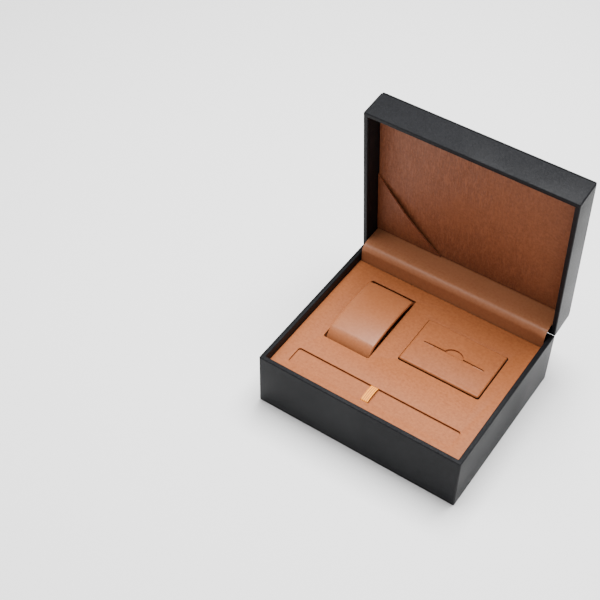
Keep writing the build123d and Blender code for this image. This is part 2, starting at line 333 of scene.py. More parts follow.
def spaced(limits: Pair, edge: Sequence[float], step: float) -> list[float]:
    """Grid lines that lie close together near both ends of a stretch.

    Args:
        limits: The stretch's ends.
        edge: Distances from each end at which lines lie.
        step: Largest distance between the lines in the middle.

    Returns:
        The lines in order.
    """
    low, high = limits
    first, last = shrunk(limits, edge[-1])
    count = max(1, round((last - first) / step))
    between = [first + (last - first) * i / count for i in range(1, count)]
    return [low + e for e in edge] + between + [high - e for e in reversed(edge)]


def on_disc(u: float, v: float) -> Pair:
    """Carry a point of the unit square to the unit disc."""
    return (u * math.sqrt(1 - v ** 2 / 2), v * math.sqrt(1 - u ** 2 / 2))


@dataclass
class Pillow:
    """A soft slab: a rounded rectangle with rounded top edges and a shaped top."""

    name: str
    x: Pair
    y: Pair
    low: float
    top: float
    edge_r: float
    corner_r: float
    step: float
    relief: Callable[[float, float], float]

    def _corner(self, x: float, y: float) -> Pair:
        """Pull a grid point in so that the slab's corners are round in plan."""
        mid_x, mid_y = middle(self.x), middle(self.y)
        reach_x = (self.x[1] - self.x[0]) / 2 - self.corner_r
        reach_y = (self.y[1] - self.y[0]) / 2 - self.corner_r
        over_x = max(0.0, abs(x - mid_x) - reach_x) / self.corner_r
        over_y = max(0.0, abs(y - mid_y) - reach_y) / self.corner_r
        if over_x <= 0 or over_y <= 0:
            return (x, y)
        new_x, new_y = on_disc(over_x, over_y)
        return (
            mid_x + math.copysign(reach_x + new_x * self.corner_r, x - mid_x),
            mid_y + math.copysign(reach_y + new_y * self.corner_r, y - mid_y),
        )

    def _inset(self, x: float, y: float) -> float:
        """Distance of a grid point from the slab's rounded outline."""
        inset_x = min(x - self.x[0], self.x[1] - x)
        inset_y = min(y - self.y[0], self.y[1] - y)
        if inset_x >= self.corner_r or inset_y >= self.corner_r:
            return min(inset_x, inset_y)
        over_x = (self.corner_r - inset_x) / self.corner_r
        over_y = (self.corner_r - inset_y) / self.corner_r
        return max(0.0, self.corner_r * (1 - math.hypot(*on_disc(over_x, over_y))))

    def _drop(self, inset: float) -> float:
        """How far the rounded edge has dropped at a distance from the side."""
        if inset >= self.edge_r:
            return 0.0
        return self.edge_r - math.sqrt(max(0.0, self.edge_r ** 2 - (self.edge_r - inset) ** 2))

    def build(self) -> Solid:
        """Make the slab.

        Returns:
            The slab as a closed mesh.
        """
        edge = [self.edge_r * (1 - math.cos(math.radians(a))) for a in range(0, 91, 15)]
        edge.append(max(self.corner_r, self.edge_r) + 1.0)
        columns = spaced(self.x, edge, self.step)
        rows = spaced(self.y, edge, self.step)
        points: list[Point] = []
        for row in rows:
            for column in columns:
                inset = self._inset(column, row)
                x, y = self._corner(column, row)
                fade = min(1.0, inset / (2 * self.edge_r))
                points.append((x, y, self.top - self._drop(inset) + fade * self.relief(x, y)))
        wide, tall = len(columns), len(rows)
        faces = grid_faces(tall, wide)
        rim = list(range(wide))
        rim += [r * wide + wide - 1 for r in range(1, tall)]
        rim += [(tall - 1) * wide + c for c in range(wide - 2, -1, -1)]
        rim += [r * wide for r in range(tall - 2, 0, -1)]
        start, count = len(points), len(rim)
        points += [(points[i][0], points[i][1], self.low) for i in rim]
        for i in range(count):
            after = (i + 1) % count
            faces.append((rim[i], rim[after], start + after, start + i))
        faces.append(tuple(range(start, start + count)))
        return mesh_object(self.name, points, faces)


def normal_at(route: Sequence[Pair], index: int) -> Vector:
    """The normal on a line's left-hand side at one of its points."""
    before = route[max(0, index - 1)]
    after = route[min(len(route) - 1, index + 1)]
    along = Vector((after[0] - before[0], after[1] - before[1])).normalized()
    return Vector((-along.y, along.x))


def strip_mesh(
    name: str, route: Sequence[Pair], across: Sequence[float], thickness: float,
    lift: Callable[[float, float], float],
) -> Solid:
    """Make a bent strip of even thickness, whose route lies in the y and z plane.

    Args:
        name: The object's name.
        route: The middle line's points in y and z, in millimetres.
        across: The places along x of the strip's grid lines.
        thickness: The strip's thickness.
        lift: Extra height along the surface's normal, from the share of the route and x.

    Returns:
        The strip as a closed mesh.
    """
    count, wide = len(route), len(across)
    around = 2 * wide
    points: list[Point] = []
    for i, (y, z) in enumerate(route):
        normal = normal_at(route, i)
        for side, places in ((0.5, across), (-0.5, reversed(across))):
            for x in places:
                rise = lift(i / (count - 1), x) + side * thickness
                points.append((x, y + normal.x * rise, z + normal.y * rise))
    faces = grid_faces(count, around, ring=True)
    for start in (0, (count - 1) * around):
        end = start + around - 1
        faces += [(start + c, start + c + 1, end - c - 1, end - c) for c in range(wide - 1)]
    return mesh_object(name, points, faces)


def smooth_route(corners: Sequence[Pair], radii: Sequence[float], steps: int) -> list[Pair]:
    """Round the corners of a route with arcs.

    Args:
        corners: The route's ends and corners in order.
        radii: A radius for each inner corner.
        steps: Points on each arc, less one.

    Returns:
        The route's points.
    """
    route = [corners[0]]
    for index, radius in enumerate(radii, start=1):
        here = Vector(corners[index])
        back = (Vector(corners[index - 1]) - here).normalized()
        ahead = (Vector(corners[index + 1]) - here).normalized()
        half = back.angle(ahead) / 2
        reach = radius / math.tan(half)
        centre = here + (back + ahead).normalized() * (radius / math.sin(half))
        first = here + back * reach - centre
        turn = first.angle_signed(here + ahead * reach - centre)
        for step in range(steps + 1):
            spin = Matrix.Rotation(-turn * step / steps, 2)
            route.append(tuple(centre + spin @ first))
    route.append(corners[-1])
    return route


def resampled(route: Sequence[Pair], step: float) -> list[Pair]:
    """Points at an even distance along a route.

    Args:
        route: The route's points.
        step: The wanted distance.

    Returns:
        The new points, with the same ends.
    """
    lengths = [0.0]
    for a, b in zip(route, route[1:]):
        lengths.append(lengths[-1] + math.dist(a, b))
    count = max(2, round(lengths[-1] / step))
    result = []
    index = 0
    for i in range(count + 1):
        target = lengths[-1] * i / count
        while index < len(route) - 2 and lengths[index + 1] < target:
            index += 1
        span = max(1e-9, lengths[index + 1] - lengths[index])
        share = (target - lengths[index]) / span
        a, b = route[index], route[index + 1]
        result.append((a[0] + (b[0] - a[0]) * share, a[1] + (b[1] - a[1]) * share))
    return result


@dataclass(frozen=True)
class NodeSheet:
    """Adds and joins the nodes of one tree."""

    tree: bpy.types.NodeTree

    def add(self, kind: str, inputs: Inputs | None = None, **values: object) -> bpy.types.Node:
        """Add a node, set its properties and fill its inputs.

        Args:
            kind: The node's type name.
            inputs: A constant or another node's output for each input, by name or index.
            values: Properties to set, by name.

        Returns:
            The new node.
        """
        node = self.tree.nodes.new(kind)
        for key, value in values.items():
            setattr(node, key, value)
        self.fill(node, inputs or {})
        return node

    def fill(self, node: bpy.types.Node, inputs: Inputs) -> None:
        """Give a node's inputs their constants or links.

        Args:
            node: The node.
            inputs: A constant or another node's output for each input, by name or index.
        """
        for key, value in inputs.items():
            if isinstance(value, Socket):
                self.tree.links.new(value, node.inputs[key])
            else:
                node.inputs[key].default_value = value

    def math(self, operation: str, first: float | Socket, second: float | Socket = 0.0) -> Socket:
        """Add a Math node and return its output."""
        return self.add("ShaderNodeMath", {0: first, 1: second}, operation=operation).outputs[0]

    def noise(self, place: Socket, scale: float | Socket, detail: float = 2.0, **inputs: float) -> Socket:
        """Add a noise texture, with any other inputs by name, and return its value."""
        values = {"Vector": place, "Scale": scale, "Detail": detail, **inputs}
        return self.add("ShaderNodeTexNoise", values).outputs["Fac"]

    def spread(self, value: Socket, source: Pair, target: Pair = (0.0, 1.0), kind: str = "LINEAR") -> Socket:
        """Map one range of values to another."""
        names = ("From Min", "From Max", "To Min", "To Max")
        inputs = {"Value": value, **dict(zip(names, (*source, *target)))}
        return self.add("ShaderNodeMapRange", inputs, interpolation_type=kind).outputs["Result"]

    def mix(self, first: Point | Socket, second: Point | Socket, factor: Socket) -> Socket:
        """Mix two colours, the first where the factor is 0 and the second where it is 1."""
        ends = [c if isinstance(c, Socket) else (*c, 1.0) for c in (first, second)]
        inputs = {"A": ends[0], "B": ends[1], "Factor": factor}
        return self.add("ShaderNodeMix", inputs, data_type="RGBA").outputs["Result"]

    def bump(self, height: Socket, strength: float, depth: float) -> Socket:
        """Turn a height from 0 to 1 into a normal, for a real depth in millimetres."""
        inputs = {"Height": height, "Strength": strength, "Distance": depth * MM}
        return self.add("ShaderNodeBump", inputs).outputs["Normal"]


def group_sheet(
    name: str, kind: str, inputs: Mapping[str, str], outputs: Mapping[str, str],
) -> tuple[NodeSheet, bpy.types.bpy_prop_collection, bpy.types.Node]:
    """Start a node group.

    Args:
        name: The group's name.
        kind: The tree's type name.
        inputs: The kind of each input, by name.
        outputs: The kind of each output, by name.

    Returns:
        The group's nodes, the inputs as outputs to read from, and the node to write to.
    """
    tree = bpy.data.node_groups.new(name, kind)
    for way, sockets in (("INPUT", inputs), ("OUTPUT", outputs)):
        for label, socket in sockets.items():
            tree.interface.new_socket(label, in_out=way, socket_type=f"NodeSocket{socket}")
    sheet = NodeSheet(tree)
    return sheet, sheet.add("NodeGroupInput").outputs, sheet.add("NodeGroupOutput")


def leather_group() -> bpy.types.NodeTree:
    """Build the shader group for leather: pebbled grain, creases, mottling and painted shade along the
    creases.

    Returns:
        The group, with a height, a colour mask of mottling with painted crease shade, and a gloss mask as
        outputs.
    """
    pebble_depth, pebble_smoothness = -0.6, 0.35
    crease_sharpness, crease_shade = 9.0, 0.22
    patch_scale, patch_range, patch_depth = 16.0, (0.38, 0.62), (0.35, 1.0)
    tone_scale, tone_share, tone_floor, broad_share = 420.0, 0.6, 0.2, 0.3
    sheet, source, result = group_sheet(
        "leather_surface", "ShaderNodeTree",
        {
            "Vector": "Vector", "Cells": "Float", "Creases": "Float", "Crease Scale": "Float",
            "Stretch": "Vector",
        },
        {"Height": "Float", "Mottle_And_Crease_Shade": "Float", "Gloss": "Float"},
    )
    place = source["Vector"]
    pebbles = sheet.add("ShaderNodeTexVoronoi", feature="SMOOTH_F1")
    sheet.fill(pebbles, {"Vector": place, "Scale": source["Cells"], "Smoothness": pebble_smoothness})
    stretched = sheet.add("ShaderNodeVectorMath", {0: place, 1: source["Stretch"]}, operation="MULTIPLY")
    creases = sheet.noise(stretched.outputs[0], source["Crease Scale"], 3.0, Roughness=0.5, Distortion=0.9)
    broad = sheet.noise(place, patch_scale)
    patches = sheet.spread(broad, patch_range, patch_depth, "SMOOTHSTEP")
    off_line = sheet.math("ABSOLUTE", sheet.math("SUBTRACT", creases, 0.5))
    ridge = sheet.math("SUBTRACT", 1.0, sheet.math("MULTIPLY", off_line, crease_sharpness))
    line = sheet.math("MAXIMUM", ridge, 0.0)
    folds = sheet.math("MULTIPLY", line, sheet.math("MULTIPLY", source["Creases"], patches))
    pebble_height = sheet.math("MULTIPLY", pebbles.outputs["Distance"], pebble_depth)
    tone = sheet.noise(place, tone_scale, 4.0)
    mottle = sheet.math("ADD", sheet.math("MULTIPLY", tone, tone_share), tone_floor)
    # Painted shade: the colour mask is darkened along the creases.
    shaded = sheet.math("SUBTRACT", mottle, sheet.math("MULTIPLY", folds, crease_shade))
    sheet.fill(result, {
        "Height": sheet.math("SUBTRACT", pebble_height, folds),
        "Mottle_And_Crease_Shade": sheet.math("ADD", shaded, sheet.math("MULTIPLY", broad, broad_share)),
        "Gloss": broad,
    })
    return sheet.tree


def blank_material(name: str) -> tuple[bpy.types.Material, NodeSheet, bpy.types.Node, Socket]:
    """Start a material.

    Args:
        name: Its name.

    Returns:
        The material, its nodes, its shader and its Object coordinates.
    """
    material = bpy.data.materials.new(name)
    material.use_nodes = True
    sheet = NodeSheet(material.node_tree)
    place = sheet.add("ShaderNodeTexCoord").outputs["Object"]
    return material, sheet, material.node_tree.nodes["Principled BSDF"], place


@dataclass(frozen=True)
class Leather:
    """A leather finish: its colours, gloss and grain, with painted shade below a height where set."""

    name: str
    colour: Point
    shade: Point
    roughness: float
    grain: Grain
    creases: float
    bump: float
    specular: float
    stretch: Point = (1.0, 1.0, 1.0)
    painted_shade_below: float = 0.0
    edge_shade: float = 0.12
    edge_fade: Pair = (-0.4, 0.1)
    mottle_range: Pair = (0.42, 0.72)
    gloss_range: Pair = (0.3, 0.7)
    gloss_spread: Pair = (-0.05, 0.06)

    def material(self, group: bpy.types.NodeTree) -> Finish:
        """Build the material round the shared leather group."""
        cells, crease_scale, depth = self.grain.value
        material, sheet, shader, place = blank_material(self.name)
        surface = sheet.add("ShaderNodeGroup", node_tree=group)
        sheet.fill(surface, {
            "Vector": place, "Cells": cells, "Creases": self.creases, "Crease Scale": crease_scale,
            "Stretch": self.stretch,
        })
        # The colour mask holds random tone and painted shade along the creases.
        mottle = sheet.spread(surface.outputs["Mottle_And_Crease_Shade"], self.mottle_range)
        colour = sheet.mix(self.shade, self.colour, mottle)
        # Painted shade on the walls and gaps below a height.
        if self.painted_shade_below:
            colour = self._with_painted_shade(sheet, place, colour)
        roughness = tuple(self.roughness + change for change in self.gloss_spread)
        sheet.fill(shader, {
            "Base Color": colour,
            "Roughness": sheet.spread(surface.outputs["Gloss"], self.gloss_range, roughness),
            "Normal": sheet.bump(surface.outputs["Height"], self.bump, depth),
            "Specular IOR Level": self.specular,
        })
        return material

    def _with_painted_shade(self, sheet: NodeSheet, place: Socket, colour: Socket) -> Socket:
        """Paint shade onto the walls of the openings and the gaps, which lie below a height: painted shade
        in the recesses.

        Args:
            sheet: The material's nodes.
            place: The Object coordinates.
            colour: The leather's colour.

        Returns:
            The colour with painted shade on the low walls.
        """
        height = sheet.add("ShaderNodeSeparateXYZ", {0: place}).outputs["Z"]
        fade = tuple((self.painted_shade_below + change) * MM for change in self.edge_fade)
        shade_colour = tuple(c * self.edge_shade for c in self.shade)
        return sheet.mix(shade_colour, colour, sheet.spread(height, fade))


@dataclass(frozen=True)
class Plain:
    """A matt or metallic finish with a fine speckle."""

    name: str
    colour: Point
    roughness: float
    metallic: float = 0.0
    speckle: float = 0.15
    scale: float = 900.0
    relief: float = 0.02

    def material(self) -> Finish:
        """Build the material.

        Returns:
            The material.
        """
        material, sheet, shader, place = blank_material(self.name)
        speckle = sheet.noise(place, self.scale, 3.0)
        dark = tuple(c * (1 - self.speckle) for c in self.colour)
        light = tuple(min(1.0, c * (1 + self.speckle)) for c in self.colour)
        sheet.fill(shader, {
            "Base Color": sheet.mix(dark, light, speckle),
            "Roughness": self.roughness,
            "Metallic": self.metallic,
            "Normal": sheet.bump(speckle, 0.3, self.relief),
        })
        return material


@dataclass(frozen=True)
class Webbing:
    """A woven ribbon with lengthwise ribs across x, with painted shade in the grooves between them."""

    name: str
    colour: Point
    # Painted shade colour for the grooves between the ribs.
    groove: Point
    pitch: float
    weave_scale: float = 1400.0
    relief: float = 0.1

    def material(self) -> Finish:
        """Build the material.

        Returns:
            The material.
        """
        material, sheet, shader, place = blank_material(self.name)
        across = sheet.add("ShaderNodeSeparateXYZ", {0: place}).outputs["X"]
        turns = sheet.math("MULTIPLY", across, 2 * math.pi / (self.pitch * MM))
        ribs = sheet.math("ADD", sheet.math("MULTIPLY", sheet.math("COSINE", turns), 0.5), 0.5)
        weave = sheet.noise(place, self.weave_scale)
        woven = sheet.math("ADD", ribs, sheet.math("SUBTRACT", weave, 0.5))
        sheet.fill(shader, {
            # The colour darkens where the ribs dip: painted shade in the grooves.
            "Base Color": sheet.mix(self.groove, self.colour, woven),
            "Roughness": 0.55,
            "Specular IOR Level": 0.2,
            "Normal": sheet.bump(woven, 0.5, self.relief),
        })
        return material


@dataclass(frozen=True)
class Palette:
    """The box's finishes."""

    black: Finish
    tan: Finish
    insert_tan: Finish
    pad_tan: Finish
    smooth_tan: Finish
    lit_flap_tan: Finish
    lining: Finish
    thread: Finish
    ribbon: Finish
    steel: Finish
    board: Finish
    foam: Finish
    felt: Finish
    card: Finish

    @classmethod
    def mixed(cls) -> Palette:
        """Build every finish once.

        Returns:
            The palette.
        """
        black = Leather(
            "black_leather", (0.0078, 0.0082, 0.0096), (0.0040, 0.0042, 0.0050), 0.44, Grain.COARSE,
            creases=0.6, bump=0.9, specular=0.09,
        )
        tan = Leather(
            "tan_leather", (0.315, 0.101, 0.033), (0.235, 0.070, 0.021), 0.5, Grain.FINE,
            creases=0.55, bump=0.7, specular=0.16, stretch=(0.35, 1.0, 1.0),
        )
        # The insert and the pad get painted shade on their walls below a height.
        insert_tan = replace(tan, name="insert_tan_leather", painted_shade_below=48.6)
        pad_tan = replace(
            tan, name="pad_tan_leather", roughness=0.46, creases=0.5, specular=0.22, painted_shade_below=49.6,
        )
        smooth_tan = Leather(
            "smooth_tan_leather", (0.325, 0.112, 0.042), (0.275, 0.088, 0.031), 0.38, Grain.FINE,
            creases=0.25, bump=0.4, specular=0.28, stretch=(0.4, 1.0, 1.0),
        )
        # The flap is the smooth tan painted lighter and greyer: painted light for its brightly lit roll.
        lit_flap_tan = replace(
            smooth_tan, name="lit_flap_tan_leather", colour=(0.37, 0.145, 0.066), shade=(0.31, 0.112, 0.048),
        )
        # The lining is the tan leather painted darker: painted shade, as the upright lining gets less light.
        lining = Leather(
            "shaded_tan_lining", (0.25, 0.083, 0.036), (0.175, 0.053, 0.021), 0.52, Grain.SOFT,
            creases=1.3, bump=0.9, specular=0.26, stretch=(1.3, 0.5, 0.2),
        )
        leathers = (black, tan, insert_tan, pad_tan, smooth_tan, lit_flap_tan, lining)
        group = leather_group()
        rib_pitch = PenRibbon.width / PenRibbon.ribs
        others = (
            Plain("black_thread", (0.05, 0.05, 0.055), 0.6),
            Webbing("gold_ribbon", (0.95, 0.37, 0.045), (0.45, 0.12, 0.012), rib_pitch),
            Plain("nickel_plate", (0.55, 0.55, 0.55), 0.3, metallic=1.0, speckle=0.05),
            Plain("fibreboard", (0.30, 0.22, 0.14), 0.85, speckle=0.3),
            Plain("dark_foam", (0.05, 0.05, 0.05), 0.9, speckle=0.4),
            Plain("black_felt", (0.02, 0.02, 0.022), 0.95, speckle=0.5, scale=1600.0),
            Plain("tan_card", (0.22, 0.07, 0.022), 0.8),
        )
        finishes = [leather.material(group) for leather in leathers]
        return cls(*finishes, *(other.material() for other in others))


def dress(obj: Solid, material: Finish) -> None:
    """Give an object one material."""
    obj.data.materials.clear()
    obj.data.materials.append(material)


def settle(
    obj: Solid, material: Finish, body: str, nodes: Sequence[str] = (),
) -> None:
    """Dress a finished piece and hand it to the frame.

    Args:
        obj: The piece, in place.
        material: Its finish.
        body: The body that it rides on.
        nodes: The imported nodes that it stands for.
    """
    dress(obj, material)
    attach(obj, body)
    if nodes:
        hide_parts(*nodes)
    log.info("%s: %d faces on %s", obj.name, len(obj.data.polygons), body)


@dataclass
class LeatherWrap:
    """The leather round one case, turned over its rim and under its floor."""

    height: float
    swing_back: float
    swing_down: float
    skin: float = 0.75
    wall: float = 4.5
    board: float = 3.0
    turn_in: float = 12.0
    corner_r: float = 1.5
    least_corner_r: float = 0.3
    foot_r: float = 0.9
    rim_r: float = 1.0
    inner_rim_r: float = 0.9
    seat_x: float = 55.0
    seat_half: float = 18.2
    seat_reach: float = 1.85
    seat_depth: float = 0.8

    def _profile(self) -> list[Pair]:
        """The wrap's section as a closed loop: distance from the outer face, and height."""
        steps = 6
        floor = self.skin + self.board
        under_rim = self.height - self.skin
        loop = [(self.turn_in, self.skin), (self.turn_in, 0.0)]
        loop += arc((self.foot_r, self.foot_r), self.foot_r, -90, -180, steps)
        loop += arc((self.rim_r, self.height - self.rim_r), self.rim_r, 180, 90, steps)
        loop += [(self.wall * 0.4, self.height), (self.wall * 0.6, self.height)]
        inner = (self.wall - self.inner_rim_r, self.height - self.inner_rim_r)
        loop += arc(inner, self.inner_rim_r, 90, 0, steps)
        loop += [(self.wall, floor), (self.wall - self.skin, floor), (self.wall - self.skin, under_rim)]
        loop += [(self.skin, under_rim), (self.skin, self.skin)]
        return loop

    def _swing(self, x: float, y: float, z: float) -> Point:
        """Press a point of the rear rim down to the slope that lets the lid swing."""
        slope = Vector((1 / self.swing_back, 1 / self.swing_down))
        from_corner = Vector((y - BOX.depth / 2, z - self.height))
        over = slope.dot(from_corner) + 1
        if over > 0:
            from_corner -= slope * (over / slope.length_squared)
        return (x, BOX.depth / 2 + from_corner.x, self.height + from_corner.y)

    def build(self, name: str) -> Solid:
        """Make the wrap of a case that stands on its floor.

        Args:
            name: The object's name.

        Returns:
            The wrap as a closed mesh.
        """
        points: list[Point] = []
        profile = self._profile()
        for inset, z in profile:
            radius = max(self.least_corner_r, self.corner_r - inset)
            ring = rounded_outline(centred(BOX.width, inset), centred(BOX.depth, inset), radius)
            points += [self._swing(x, y, z) for x, y in ring]
        around = len(points) // len(profile)
        wrap = mesh_object(name, points, grid_faces(len(profile), around, ring=True, loop=True))
        hinge_z = self.height + BOX.rim_gap / 2
        barrel_y = (BOX.hinge_y - self.seat_reach, BOX.depth)
        barrel_z = (hinge_z - self.seat_reach, hinge_z + self.seat_reach)
        strip_y = (BOX.inner_y - 1, BOX.hinge_y)
        strip_z = (self.height - self.seat_depth, hinge_z + 1)
        for side in (-1, 1):
            x = (side * self.seat_x - self.seat_half, side * self.seat_x + self.seat_half)
            cut_away(wrap, brick("seat_cutter", x, barrel_y, barrel_z))
            cut_away(wrap, brick("strip_cutter", x, strip_y, strip_z))
        return wrap


@dataclass
class Case:
    """The base and the lid: boards, leather wraps and the hidden inner pieces."""

    palette: Palette
    base_swing: Pair = (1.65, 1.65)
    lid_swing: Pair = (1.5, 2.0)
    smooth_deg: float = 32.0

    def build(self) -> None:
        """Make both leather wraps and hand them over."""
        base = LeatherWrap(BOX.base_height, *self.base_swing).build("base_case_leather")
        shade_smooth(base, self.smooth_deg)
        settle(base, self.palette.black, "base", ["base_leather_wrap"])
        height = BOX.lid_case_top - BOX.base_height - BOX.rim_gap
        lid = LeatherWrap(height, *self.lid_swing).build("lid_case_leather")
        open_out(lid, flipped_at=BOX.lid_case_top)
        shade_smooth(lid, self.smooth_deg)
        settle(lid, self.palette.black, "lid", ["lid_leather_wrap"])

    def finish(self, nodes: dict[str, Solid]) -> None:
        """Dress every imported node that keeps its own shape.

        Args:
            nodes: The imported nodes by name.
        """
        finishes = {
            "leather_wrap": self.palette.black,
            "foam": self.palette.foam,
            "card_pad_core": self.palette.foam,
            "insert_panel": self.palette.tan,
            "pen_tray_floor": self.palette.tan,
            "card_pocket_backing": self.palette.tan,
            "watch_well_liner": self.palette.card,
            "cuff_plate": self.palette.card,
            "underside_sheet": self.palette.felt,
            "leaf": self.palette.steel,
            "screws": self.palette.steel,
            "pins": self.palette.steel,
            "board": self.palette.board,
        }
        for name, node in nodes.items():
            for key, material in finishes.items():
                if key in name:
                    dress(node, material)
                    break


@dataclass
class Insert:
    """The insert's leather panel with its three openings."""

    palette: Palette
    x: Pair = (-95.2, 95.2)
    y: Pair = (-80.2, 72.4)
    thickness: float = 2.5
    edge_r: float = 0.8
    well: tuple[Pair, Pair, float] = ((-72.0, -25.0), (-25.7, 56.8), 1.5)
    pen: tuple[Pair, Pair, float] = ((-81.5, 81.5), (-67.7, -49.1), 2.5)
    pad: tuple[Pair, Pair, float] = ((-4.0, 76.5), (-11.2, 45.0), 2.0)

    def build(self) -> None:
        """Make the panel and hand it over."""
        low = BOX.insert_z - self.thickness
        panel = brick("insert_leather", self.x, self.y, (low, BOX.insert_z))
        for opening in (self.well, self.pen, self.pad):
            cutter = prism("opening_cutter", rounded_outline(*opening), low - 1, BOX.insert_z + 1)
            cut_away(panel, cutter)
        soften(panel, self.edge_r, 4)
        shade_smooth(panel, 40)
        settle(panel, self.palette.insert_tan, "base", ["insert_panel"])


@dataclass
class CardPad:
    """The crowned card pad with its slit pocket and thumb notch."""

    palette: Palette
    x: Pair = (-3.6, 75.5)
    y: Pair = (-10.1, 44.6)
    low: float = 45.6
    rise: float = 1.8
    crown: float = 1.0
    sink: float = 0.4
    slit_y: float = 18.0
    slit_length: float = 60.4
    slit_width: float = 0.9
    lip_rise: float = 0.9
    lip_rise_reach: float = 2.2
    lip_dip: float = 0.3
    lip_dip_reach: float = 2.5
    ripple: Ripple = Ripple(0.06, 14.0, 3.0)
    notch_width: float = 18.0
    notch_depth: float = 6.8
    notch_steps: int = 28
    bed_z: Pair = (49.0, 50.2)
    bed_gap: float = 0.05
    side: float = 0.75

    def _relief(self, x: float, y: float) -> float:
        """Height of the crown, the lifted rear lip and the soft waves."""
        mid_x, mid_y = middle(self.x), middle(self.y)
        across = (x - mid_x) / (self.x[1] - mid_x)
        along = (y - mid_y) / (self.y[1] - mid_y)
        bulge = self.crown * (1 - across ** 4) * (1 - along ** 2)
        behind = y - self.slit_y
        on_slit = max(0.0, 1 - abs(x - mid_x) / (self.slit_length / 2)) ** 0.4
        if behind > 0:
            lip = self.lip_rise * math.exp(-behind / self.lip_rise_reach)
        else:
            lip = -self.lip_dip * math.exp(behind / self.lip_dip_reach)
        return bulge + lip * on_slit + self.ripple.at(x, y) - self.sink

    def _cutters(self) -> list[Solid]:
        """The solids that hollow the pad and open its slit and its notch, in order."""
        mid_x = middle(self.x)
        through = (self.low - 1, BOX.insert_z + 6)
        hollow_z = (self.low - 1, self.bed_z[1] + 0.03)
        slit_x = (mid_x - self.slit_length / 2, mid_x + self.slit_length / 2)
        slit_y = (self.slit_y - self.slit_width / 2, self.slit_y + self.slit_width / 2)
        notch = []
        for i in range(self.notch_steps + 1):
            angle = math.pi * i / self.notch_steps
            x = mid_x + math.cos(angle) * self.notch_width / 2
            notch.append((x, self.slit_y + math.sin(angle) * self.notch_depth))
        return [
            brick("pad_hollow_cutter", shrunk(self.x, self.side), shrunk(self.y, self.side), hollow_z),
            brick("slit_cutter", slit_x, slit_y, through),
            prism("notch_cutter", notch, *through),
        ]

    def build(self) -> None:
        """Make the leather cover and the bed under its slit and hand them over."""
        pad = Pillow(
            "card_pad_leather", self.x, self.y, self.low, BOX.insert_z + self.rise,
            edge_r=2.0, corner_r=2.2, step=0.9, relief=self._relief,
        ).build()
        for cutter in self._cutters():
            cut_away(pad, cutter)
        shade_smooth(pad, 40)
        settle(pad, self.palette.pad_tan, "base", ["card_pad_cover"])
        inset = self.side + self.bed_gap
        bed = brick("card_pocket_bed", shrunk(self.x, inset), shrunk(self.y, inset), self.bed_z)
        soften(bed, 0.2, 2)
        settle(bed, self.palette.tan, "base", ["card_pocket_backing"])


@dataclass
class WatchCuff:
    """The C-shaped cuff's leather cover, crowned across its width."""

    palette: Palette
    x: Pair = (-70.8, -25.8)
    y: Pair = (-25.2, 56.3)
    z: Pair = (5.55, 57.1)
    front_r: float = 20.0
    rear_r: float = 16.0
    crown_r: float = 190.0
    mouth: float = 30.0
    depth: float = 2.75
    skin: float = 0.75
    crown: float = 0.7
    edge_r: float = 1.1
    step: float = 1.3

    def _outline(self) -> list[Pair]:
        """The cuff's outer line in y and z, from one side of the mouth round to the other."""
        arc_steps, flat_steps = 16, 40
        mid = middle(self.y)
        low, high = self.z
        front, rear = self.y[0] + self.front_r, self.y[1] - self.rear_r
        span = self.y[1] - self.y[0]
        flat = [self.y[1] - span * i / flat_steps for i in range(flat_steps + 1)]
        top = arc((rear, high - self.rear_r), self.rear_r, 0, 90, arc_steps)
        top += [(y, high) for y in flat if front < y < rear]
        top += arc((front, high - self.front_r), self.front_r, 90, 180, arc_steps)
        route = [(mid + self.mouth / 2, low)]
        route += arc((rear, low + self.rear_r), self.rear_r, -90, 0, arc_steps)
        for y, z in top:
            route.append((y, min(z, high - self.crown_r + math.sqrt(self.crown_r ** 2 - (y - mid) ** 2))))
        route += arc((front, low + self.front_r), self.front_r, 180, 270, arc_steps)
        route.append((mid - self.mouth / 2, low))
        return resampled(route, self.step)

    def _section(self) -> list[Pair]:
        """The cover's section: x, and depth below the outer line, as a closed loop."""
        left, right = self.x
        mid = middle(self.x)
        turns = [math.radians(a) for a in (0, 22, 45, 67, 90)]
        edge = [(self.edge_r * (1 - math.cos(a)), self.edge_r * (1 - math.sin(a))) for a in turns]
        inner = self.skin + 0.05
        loop = [(left + self.skin, self.depth), (left, self.depth)]
        loop += [(left + inset, drop) for inset, drop in edge]
        first, last = shrunk(self.x, self.edge_r)
        count = 14
        for i in range(1, count):
            x = first + (last - first) * i / count
            loop.append((x, -self.crown * (1 - ((x - mid) / (right - mid)) ** 2)))
        loop += [(right - inset, drop) for inset, drop in reversed(edge)]
        loop += [(right, self.depth), (right - self.skin, self.depth)]
        loop += [(right - self.skin, inner), (left + self.skin, inner)]
        return loop

    def build(self) -> None:
        """Make the leather cover and hand it over."""
        outline = self._outline()
        section = self._section()
        points: list[Point] = []
        for i, (y, z) in enumerate(outline):
            inward = normal_at(outline, i)
            upward = max(0.0, -inward.y)
            for x, depth in section:
                sunk = depth if depth > 0 else depth * upward
                points.append((x, y + inward.x * sunk, z + inward.y * sunk))
        wide = len(section)
        faces = grid_faces(len(outline), wide, ring=True)
        faces += [tuple(range(wide)), tuple(range(len(points) - wide, len(points)))]
        cover = mesh_object("cuff_leather_cover", points, faces)
        shade_smooth(cover, 50)
        settle(cover, self.palette.smooth_tan, "cuff", ["cuff_leather"])


